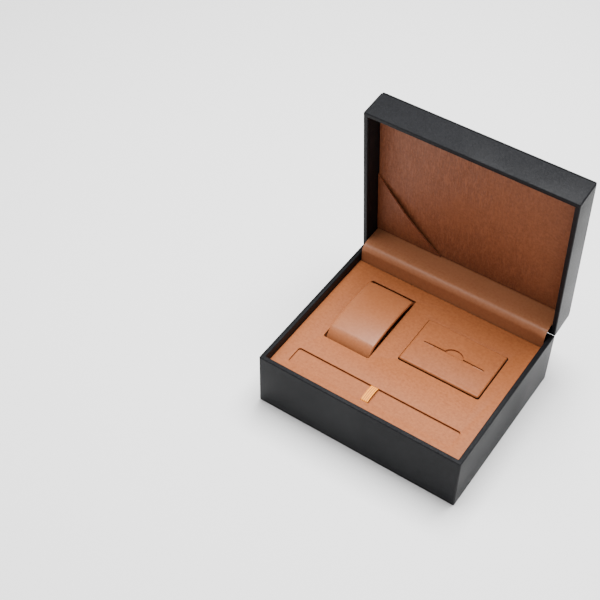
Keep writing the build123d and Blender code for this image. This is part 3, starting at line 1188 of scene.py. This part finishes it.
@dataclass
class PenRibbon:
    """The elastic ribbon loop over the pen tray, ribbed along its length."""

    palette: Palette
    x: float = -3.0
    width: float = 7.0
    y: float = -58.4
    reach: float = 9.3
    rise: float = 1.3
    thickness: float = 0.6
    tuck: float = 1.9
    ribs: int = 4
    rib_height: float = 0.09
    lines_per_rib: int = 6
    step: float = 0.5

    def _ribbing(self, share: float, x: float) -> float:
        """Height of the woven ribs at a place across the ribbon."""
        return self.rib_height * math.cos((x - self.x) / self.width * self.ribs * 2 * math.pi)

    def build(self) -> None:
        """Make the ribbon and hand it over."""
        edge = BOX.insert_z + 0.1
        low = BOX.insert_z - self.tuck
        crest = BOX.insert_z + self.rise + 0.6
        half = self.reach - self.thickness / 2
        front, rear = self.y - half, self.y + half
        corners = [(front, low), (front, edge), (self.y, crest), (rear, edge), (rear, low)]
        route = resampled(smooth_route(corners, [0.9, 30.0, 0.9], 8), self.step)
        lines = self.lines_per_rib * self.ribs
        across = [self.x - self.width / 2 + self.width * i / lines for i in range(lines + 1)]
        ribbon = strip_mesh("pen_ribbon_loop", route, across, self.thickness, self._ribbing)
        shade_smooth(ribbon, 50)
        settle(ribbon, self.palette.ribbon, "base", ["pen_loop_ribbon"])


@dataclass
class HingeFlap:
    """The leather flap from the lid lining, over the hinges, to behind the insert."""

    palette: Palette
    length: float = 189.0
    thickness: float = 1.2
    y: float = 73.6
    shelf_z: float = 68.4
    nose_r: float = 6.0
    tail_z: float = 42.0
    lining_rear_y: float = 73.6
    step: float = 0.9
    columns: int = 90
    broad: Ripple = Ripple(0.35, 34.0, 8.0)
    fine: Ripple = Ripple(0.12, 11.0, 2.0)

    def _route(self) -> list[Pair]:
        """The flap's middle line in y and z, from the lining down to the tail."""
        _, top_y, top_z = BOX.opened((0, self.lining_rear_y + self.thickness, BOX.lining_z + 1.0))
        corners = [
            (top_y, top_z),
            (self.y + 2 * self.nose_r, self.shelf_z),
            (self.y, self.shelf_z - self.thickness),
            (self.y, self.tail_z + self.nose_r),
            (self.y + 1.2, self.tail_z),
        ]
        return resampled(smooth_route(corners, [2 * self.nose_r, self.nose_r, self.nose_r], 10), self.step)

    def _pucker(self, share: float, x: float) -> float:
        """Soft waves in the leather, still at both fastened edges."""
        free = math.sin(math.pi * min(1.0, max(0.0, share * 1.5)))
        return free * (self.broad.at(x, share * 12) + self.fine.at(x, share * 30))

    def build(self) -> None:
        """Make the flap, dress it and hide the imported flap."""
        route = self._route()
        across = [-self.length / 2 + self.length * i / self.columns for i in range(self.columns + 1)]
        flap = strip_mesh("hinge_flap_leather", list(reversed(route)), across, self.thickness, self._pucker)
        shade_smooth(flap, 50)
        dress(flap, self.palette.lit_flap_tan)
        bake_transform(flap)
        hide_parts("hinge_cover_flap")


@dataclass
class LidLining:
    """The lining panel in the lid and the corner pocket on it."""

    palette: Palette
    x: Pair = (-95.2, 95.2)
    y: Pair = (-80.2, 73.6)
    depth: float = 2.0
    leg_x: float = 68.5
    leg_y: float = 72.0
    pocket_t: float = 1.1
    pocket_inset: float = 0.3
    pocket_lift: float = 0.15
    pocket_gape: float = 3.2
    pocket_fill: float = 2.0
    pocket_cells: int = 34
    broad: Ripple = Ripple(0.25, 45.0, 5.0)
    fine: Ripple = Ripple(0.08, 12.0, 9.0)
    pocket_ripple: Ripple = Ripple(0.4, 14.0, 4.0)

    def build(self) -> None:
        """Make the panel and the pocket and hand them over."""
        panel = Pillow(
            "lid_lining_leather", self.x, self.y, -self.depth, 0.0,
            edge_r=1.1, corner_r=1.5, step=3.0, relief=self._puff,
        ).build()
        open_out(panel, flipped_at=BOX.lining_z)
        shade_smooth(panel, 40)
        settle(panel, self.palette.lining, "lid", ["lid_lining_panel"])
        self._pocket()

    def _puff(self, x: float, y: float) -> float:
        """Soft padding of the lining."""
        return self.broad.at(x, y) + self.fine.at(x, y)

    def _pocket_point(self, u: float, v: float) -> Point:
        """A point of the pocket's underside, from its shares of both legs.

        Args:
            u: Share of the leg along x.
            v: Share of the leg along y.

        Returns:
            The place on the lining, with its height over it.
        """
        mouth = u + v
        along = min(1, max(0, v / max(mouth, 1e-6)))
        gape = self.pocket_gape * mouth ** 4 * math.sin(math.pi * along)
        puff = self.pocket_fill * u * v * (1 - mouth) + self.pocket_ripple.at(u * 60, v * 60) * min(u, v)
        x = self.x[0] + self.pocket_inset + self.leg_x * u
        y = self.y[1] - self.pocket_inset - self.leg_y * v
        return (x, y, self.pocket_lift + gape + puff)

    def _pocket(self) -> None:
        """Make the triangular pocket, whose long edge stands a little open."""
        count = self.pocket_cells
        rows: list[list[int]] = []
        inner: list[Point] = []
        for i in range(count + 1):
            start = len(inner)
            inner += [self._pocket_point(i / count, j / count) for j in range(count + 1 - i)]
            rows.append(list(range(start, len(inner))))
        outer = [(x, y, z + self.pocket_t) for x, y, z in inner]
        triangles = []
        for i in range(count):
            for j in range(count - i):
                triangles.append((rows[i][j], rows[i + 1][j], rows[i][j + 1]))
                if j < count - i - 1:
                    triangles.append((rows[i + 1][j], rows[i + 1][j + 1], rows[i][j + 1]))
        shift = len(outer)
        faces: list[tuple[int, ...]] = list(triangles)
        faces += [(shift + a, shift + c, shift + b) for a, b, c in triangles]
        border = rows[0] + [rows[i][count - i] for i in range(1, count + 1)]
        border += [rows[i][0] for i in range(count - 1, 0, -1)]
        for a, b in zip(border, border[1:] + border[:1]):
            faces.append((a, b, shift + b, shift + a))
        pocket = mesh_object("lid_pocket_leather", outer + inner, faces)
        open_out(pocket, flipped_at=BOX.lining_z)
        shade_smooth(pocket, 50)
        settle(pocket, self.palette.lining, "lid", ["lid_corner_pocket"])


@dataclass
class TopPanel:
    """The padded, stitched panel on top of the lid."""

    palette: Palette
    inset: float = 0.5
    groove: float = 0.4
    height: float = 2.3
    swell: float = 0.5
    seam_inset: float = 7.0
    swell_reach: float = 6.0
    seam_press: float = 0.35
    seam_width: float = 1.1
    seam_depth: float = 0.62
    stitch_pitch: float = 3.6
    stitch_length: float = 2.5
    thread_r: float = 0.28
    ripple: Ripple = Ripple(0.05, 30.0, 1.0)

    def _relief(self, x: float, y: float) -> float:
        """Padding that swells inside the pressed seam."""
        reach_x = BOX.width / 2 - self.inset - abs(x)
        reach_y = BOX.depth / 2 - self.inset - abs(y)
        within = min(reach_x, reach_y) - self.seam_inset
        seam = -self.seam_press * math.exp(-(within / self.seam_width) ** 2)
        pad = self.swell * (1 - math.exp(-max(0.0, within) / self.swell_reach))
        return seam + pad - self.swell + self.ripple.at(x, y)

    def build(self) -> None:
        """Make the panel and its stitches and hand them over."""
        top = BOX.lid_case_top + self.height
        panel = Pillow(
            "lid_top_leather", centred(BOX.width, self.inset), centred(BOX.depth, self.inset),
            BOX.lid_case_top + self.groove, top, edge_r=0.9, corner_r=1.5, step=2.0, relief=self._relief,
        ).build()
        open_out(panel)
        shade_smooth(panel, 40)
        settle(panel, self.palette.black, "lid", ["lid_top_panel_cover"])
        stitches = self._stitches(top - self.seam_depth)
        open_out(stitches)
        settle(stitches, self.palette.thread, "lid")

    def _stitches(self, z: float) -> Solid:
        """Run the seam round the panel with a Geometry Nodes tree.

        Args:
            z: Height of the seam.

        Returns:
            The stitches as one plain mesh.
        """
        inset = self.inset + self.seam_inset
        (left, right), (front, rear) = centred(BOX.width, inset), centred(BOX.depth, inset)
        corners = [(left, front, z), (right, front, z), (right, rear, z), (left, rear, z)]
        seam = bpy.data.meshes.new("seam_line")
        seam.from_pydata([tuple(c * MM for c in p) for p in corners], [(0, 1), (1, 2), (2, 3), (3, 0)], [])
        obj = place_object("lid_top_stitches", seam)
        tree = stitch_tree()
        modifier = obj.modifiers.new("stitches", "NODES")
        modifier.node_group = tree
        values = {
            "Pitch": self.stitch_pitch * MM,
            "Length": self.stitch_length * MM,
            "Radius": self.thread_r * MM,
            "Material": self.palette.thread,
        }
        for item in tree.interface.items_tree:
            if item.item_type == "SOCKET" and item.in_out == "INPUT" and item.name in values:
                modifier[item.identifier] = values[item.name]
        apply_modifiers(obj)
        shade_smooth(obj, 60)
        return obj


def stitch_tree() -> bpy.types.NodeTree:
    """Build the tree that sets evenly spaced stitches along the edges of a mesh.

    Returns:
        The Geometry Nodes tree.
    """
    sheet, source, result = group_sheet(
        "stitch_row", "GeometryNodeTree",
        {
            "Geometry": "Geometry", "Pitch": "Float", "Length": "Float", "Radius": "Float",
            "Material": "Material",
        },
        {"Geometry": "Geometry"},
    )
    line = sheet.add("GeometryNodeMeshToCurve", {"Mesh": source["Geometry"]})
    places = sheet.add("GeometryNodeCurveToPoints", mode="LENGTH")
    sheet.fill(places, {"Curve": line.outputs["Curve"], "Length": source["Pitch"]})
    stitch = sheet.add("GeometryNodeMeshUVSphere", {"Segments": 8, "Rings": 6, "Radius": 1.0})
    half = sheet.math("MULTIPLY", source["Length"], 0.5)
    radius = source["Radius"]
    size = sheet.add("ShaderNodeCombineXYZ", {"X": radius, "Y": radius, "Z": half})
    shaped = sheet.add("GeometryNodeTransform")
    sheet.fill(shaped, {"Geometry": stitch.outputs["Mesh"], "Scale": size.outputs[0]})
    copies = sheet.add("GeometryNodeInstanceOnPoints", {
        "Points": places.outputs["Points"],
        "Instance": shaped.outputs["Geometry"],
        "Rotation": places.outputs["Rotation"],
    })
    real = sheet.add("GeometryNodeRealizeInstances", {"Geometry": copies.outputs["Instances"]})
    finish = sheet.add("GeometryNodeSetMaterial", {"Geometry": real.outputs["Geometry"]})
    sheet.fill(finish, {"Material": source["Material"]})
    sheet.fill(result, {"Geometry": finish.outputs["Geometry"]})
    return sheet.tree


@dataclass(frozen=True)
class SoftBox:
    """A square area light, with its places and side in millimetres and its power in watts."""

    name: str
    place: Point
    target: Point
    side: float
    power: float

    def hang(self) -> None:
        """Put the light into the scene."""
        data = bpy.data.lights.new(self.name, "AREA")
        data.size = self.side * MM
        data.energy = self.power
        light = place_object(self.name, data)
        aim = (Vector(self.target) - Vector(self.place)).to_track_quat("-Z", "Y")
        light.matrix_world = Matrix.Translation(Vector(self.place) * MM) @ aim.to_matrix().to_4x4()


@dataclass
class Studio:
    """The camera, the soft lights and the pale floor."""

    azimuth_deg: float = 33.57
    elevation_deg: float = 47.39
    roll_deg: float = 0.98
    distance: float = 1145.88
    right_shift: float = -94.07
    up_shift: float = 79.66
    lens: float = 75.79
    sensor: float = 36.0
    floor_half: float = 4000.0
    floor_tone: float = 0.94
    sky_strength: float = 0.45
    lights: tuple[SoftBox, ...] = (
        SoftBox("top_light", (0, 340, 1350), (0, -40, 0), 800, 52),
        SoftBox("key_light", (-450, -250, 1150), (0, 0, 60), 700, 7.5),
        SoftBox("right_light", (1300, -50, 520), (0, 0, 60), 800, 1.5),
    )

    def build(self) -> None:
        """Set up the whole studio."""
        self._camera()
        self._floor()
        self._sky()
        for light in self.lights:
            light.hang()

    def _camera(self) -> None:
        """Place the camera at the photograph's viewing angle."""
        azimuth = math.radians(self.azimuth_deg)
        elevation = math.radians(self.elevation_deg)
        roll = math.radians(self.roll_deg)
        back = Vector((
            math.sin(azimuth) * math.cos(elevation),
            -math.cos(azimuth) * math.cos(elevation),
            math.sin(elevation),
        ))
        level = Vector((0, 0, 1)).cross(back).normalized()
        upward = back.cross(level)
        right = math.cos(roll) * level + math.sin(roll) * upward
        up = -math.sin(roll) * level + math.cos(roll) * upward
        place = back * self.distance + right * self.right_shift + up * self.up_shift
        data = bpy.data.cameras.new("camera")
        data.lens = self.lens
        data.sensor_width = self.sensor
        data.clip_start = 0.05
        camera = place_object("camera", data)
        turn = Matrix((right, up, back)).transposed().to_4x4()
        camera.matrix_world = Matrix.Translation(place * MM) @ turn
        bpy.context.scene.camera = camera

    def _floor(self) -> None:
        """Lay a pale floor."""
        half = self.floor_half
        corners = [(-half, -half, 0), (half, -half, 0), (half, half, 0), (-half, half, 0)]
        floor = mesh_object("floor", corners, [(0, 1, 2, 3)])
        material = bpy.data.materials.new("floor_white")
        material.use_nodes = True
        shader = material.node_tree.nodes["Principled BSDF"]
        shader.inputs["Base Color"].default_value = (self.floor_tone, self.floor_tone, self.floor_tone, 1)
        shader.inputs["Roughness"].default_value = 0.7
        dress(floor, material)

    def _sky(self) -> None:
        """Surround the scene with even white light."""
        world = bpy.data.worlds.new("surround")
        world.use_nodes = True
        sky = world.node_tree.nodes["Background"]
        sky.inputs["Color"].default_value = (1, 1, 1, 1)
        sky.inputs["Strength"].default_value = self.sky_strength
        bpy.context.scene.world = world


def main() -> None:
    """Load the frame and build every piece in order."""
    logging.basicConfig(level=logging.INFO, format="%(name)s: %(message)s")
    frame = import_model()
    palette = Palette.mixed()
    Studio().build()
    case = Case(palette)
    case.finish(frame["nodes"])
    case.build()
    for piece in (Insert, CardPad, WatchCuff, PenRibbon, HingeFlap, LidLining, TopPanel):
        piece(palette).build()


if __name__ == "__main__":
    main()
